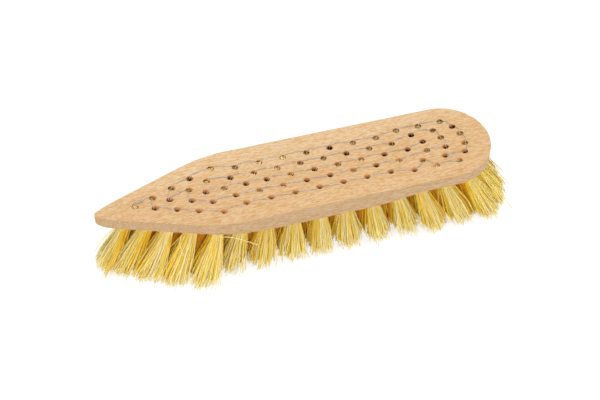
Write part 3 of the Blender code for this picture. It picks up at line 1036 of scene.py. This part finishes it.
def smooth_path(points, steps):
    """A smooth line through all the points, with steps pieces between each two."""
    ends = [points[0] * 2 - points[1]] + points + [points[-1] * 2 - points[-2]]
    line = []
    for p0, p1, p2, p3 in zip(ends, ends[1:], ends[2:], ends[3:]):
        for i in range(steps):
            t = i / steps
            line.append(
                0.5
                * (
                    2 * p1
                    + (p2 - p0) * t
                    + (2 * p0 - 5 * p1 + 4 * p2 - p3) * t**2
                    + (3 * p1 - p0 - 3 * p2 + p3) * t**3
                )
            )
    return line + [points[-1]]


def fold_point(hole):
    """Where the wire passes under a tuft's fold."""
    return bore_point(hole, BRUSH_HEIGHT - fold_depth(hole) - WIRE_UNDER_FOLD)


def rim_direction(hole, other):
    """From a hole's centre to where the wire crosses its rim, on the way to another hole."""
    centre = place(hole)
    fold = fold_point(hole)
    fold.z = centre.z
    way = place(other) - fold
    way.normalize()
    radius = BORE_DIAMETER / 2
    offset = fold - centre
    if offset.length > RIM_SHARE * radius:
        offset = offset.normalized() * RIM_SHARE * radius
    reach = offset.dot(way)
    rim = offset + way * (math.sqrt(reach * reach - offset.length_squared + radius**2) - reach)
    swing = RIM_SWING * max(way.x, 0.0) - RIM_SWING_BACK * max(-way.x, 0.0)
    return Matrix.Rotation(swing, 3, "Z") @ rim.normalized()


def inside_rim(hole, direction):
    """Where the wire leans on the wall of a bore, just below its rim."""
    return place(hole) + direction * (BORE_DIAMETER / 2 - WIRE_IN_RIM) - UP * WIRE_IN_DEPTH


def past_rim(hole, direction):
    """Where the wire lies on the back, just outside a bore."""
    return place(hole) + direction * (BORE_DIAMETER / 2 + WIRE_PAST_RIM) + UP * WIRE_DIAMETER / 2


def wire_points():
    """The wire's run: out of one hole, in a slack bow to the next, down and under its fold."""
    rng = random.Random(WIRE_SEED)
    order = stitching_order()
    points = []
    for number, (hole, following) in enumerate(zip(order, order[1:])):
        leaving = rim_direction(hole, following)
        entering = rim_direction(following, hole)
        start = past_rim(hole, leaving)
        end = past_rim(following, entering)
        along = (end - start).normalized()
        side = UP.cross(along)
        bow = rng.uniform(*WIRE_BOWS) * (1.0 if along.x > 0.0 else -1.0)
        hump = rng.uniform(*WIRE_HUMPS)
        if number == 0:
            start = knot_end()
            bow = FIRST_BOW
            hump = FIRST_HUMP
        else:
            points += [inside_rim(hole, leaving), start]
        for t, rise in HUMP_SHAPE:
            wave = side * bow * math.sin(math.pi * t)
            points.append(start.lerp(end, t) + UP * hump * rise + wave)
        points += [end, inside_rim(following, entering), fold_point(following)]
    for x, y, z in LOOSE_END:
        points.append(bore_point(order[-1], BRUSH_HEIGHT + z * MM) + Vector((x, y, 0.0)) * MM)
    return points


def knot_axis():
    """Where the twist beside the nose hole starts, and the way that it runs."""
    first, second = stitching_order()[:2]
    start = place(first) + Vector(KNOT_START) * MM
    along = (place(second) + Vector(KNOT_AIM) * MM - start).normalized()
    return start, along


def knot_end():
    """Where the wire leaves the twist for its first bow."""
    start, along = knot_axis()
    return start + along * (KNOT_LENGTH + KNOT_LEAD)


def knot_points():
    """Both strands of the twist beside the nose hole, from under the fold to the loose end."""
    hole = stitching_order()[0]
    start, along = knot_axis()
    side = UP.cross(along)
    count = KNOT_TURNS * KNOT_STEPS
    strands = []
    for phase, rim_turn in KNOT_STRANDS:
        rim = Vector((math.cos(rim_turn), math.sin(rim_turn), 0.0)) * BORE_DIAMETER / 2
        points = [fold_point(hole), place(hole) + rim * KNOT_IN_BORE - UP * WIRE_IN_DEPTH]
        points.append(place(hole) + rim * KNOT_OVER_RIM + UP * KNOT_RISE)
        for i in range(count + 1):
            turn = phase + 2 * math.pi * i / KNOT_STEPS
            ring = side * math.cos(turn) + UP * math.sin(turn)
            points.append(start + along * KNOT_LENGTH * i / count + ring * KNOT_RADIUS)
        strands.append(points)
    loose = strands[1][-1] + along * KNOT_TAIL + (UP - side) * KNOT_TAIL_SIDEWAYS
    strands[1].append(loose)
    return strands


def make_wire(material):
    """The whole wire as one curve with two splines: the run, and the twist's second strand."""
    run, tail = knot_points()
    splines = (smooth_path(run + wire_points(), WIRE_STEPS), smooth_path(tail, KNOT_TAIL_STEPS))
    curve = bpy.data.curves.new("wire", "CURVE")
    curve.dimensions = "3D"
    curve.bevel_depth = WIRE_DIAMETER / 2
    curve.bevel_resolution = WIRE_ROUNDNESS
    curve.use_fill_caps = True
    for points in splines:
        spline = curve.splines.new("POLY")
        spline.points.add(len(points) - 1)
        for target, point in zip(spline.points, points):
            target.co = (*point, 1.0)
    wire = link("wire", curve, material)
    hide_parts("stitching_wire")
    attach(wire, "root")


# Stage


def seen_directly(tree):
    """1 for what the camera, a mirror or glass sees, 0 for what lights the scene."""
    rays = tree.nodes.new("ShaderNodeLightPath").outputs
    seen = maths(tree, "MAXIMUM", rays["Is Camera Ray"], rays["Is Glossy Ray"])
    return maths(tree, "MAXIMUM", seen, rays["Is Transmission Ray"])


def make_floor():
    """A plain white floor that is as bright to the camera as the backdrop."""
    bpy.ops.mesh.primitive_plane_add(size=FLOOR_SIZE, location=(0.0, 0.0, -FLOOR_DROP))
    floor = bpy.context.object
    floor.name = "floor"
    material, tree = node_material("floor_white")
    seen = seen_directly(tree)
    white = (FLOOR_BOUNCE, FLOOR_BOUNCE, FLOOR_BOUNCE, 1.0)
    dull = (FLOOR_SEEN, FLOOR_SEEN, FLOOR_SEEN, 1.0)
    shader = surface(tree, mix_colour(tree, seen, white, dull), roughness=1.0, specular=0.0)
    shader.inputs["Emission Color"].default_value = (1.0, 1.0, 1.0, 1.0)
    tree.links.new(maths(tree, "MULTIPLY", seen, FLOOR_LIFT), shader.inputs["Emission Strength"])
    floor.data.materials.append(material)


def make_light(name, location, size, energy):
    """A square lamp that shines at the middle of the brush."""
    lamp = bpy.data.lights.new(name, "AREA")
    lamp.size = size
    lamp.energy = energy
    obj = link(name, lamp)
    obj.location = location
    obj.rotation_mode = "QUATERNION"
    obj.rotation_quaternion = (-Vector(location)).to_track_quat("-Z", "Y")


def make_world():
    """Even light all round, which the camera sees as plain white."""
    world = bpy.data.worlds.new("studio")
    bpy.context.scene.world = world
    world.use_nodes = True
    tree = world.node_tree
    background = tree.nodes["Background"]
    background.inputs["Color"].default_value = (1.0, 1.0, 1.0, 1.0)
    extra = maths(tree, "MULTIPLY", seen_directly(tree), 1.0 - WORLD_STRENGTH)
    tree.links.new(maths(tree, "ADD", extra, WORLD_STRENGTH), background.inputs["Strength"])


def make_camera():
    """The photograph's camera: its direction, and its place from the nose tip, were fitted."""
    level = math.cos(CAMERA_ELEVATION)
    rise = math.sin(CAMERA_ELEVATION)
    along = math.cos(CAMERA_AZIMUTH)
    across = math.sin(CAMERA_AZIMUTH)
    backward = Vector((across * level, -along * level, rise))
    right = Vector((along, across, 0.0))
    upward = backward.cross(right)
    offset = right * CAMERA_OFFSET[0] + upward * CAMERA_OFFSET[1] + backward * CAMERA_OFFSET[2]
    data = bpy.data.cameras.new("camera")
    data.sensor_width = SENSOR_WIDTH
    data.lens = PHOTO_FOCAL * SENSOR_WIDTH / PHOTO_WIDTH
    camera = link("camera", data)
    camera.location = Vector((NOSE_X, 0.0, BRUSH_HEIGHT)) + offset
    camera.rotation_mode = "QUATERNION"
    camera.rotation_quaternion = (-backward).to_track_quat("-Z", "Y")
    bpy.context.scene.camera = camera


make_camera()
make_world()
make_floor()
for lamp in LAMPS:
    make_light(*lamp)
bpy.context.scene.view_settings.view_transform = "Standard"

make_block(beech_material(), drilled_beech_material())
fibre = fibre_material()
number = 0
for node, holes in tuft_groups().items():
    for hole in holes:
        number += 1
        make_tuft(f"tuft_{number:02d}", hole, node, fibre, TUFT_SEED + number)
make_wire(wire_material())
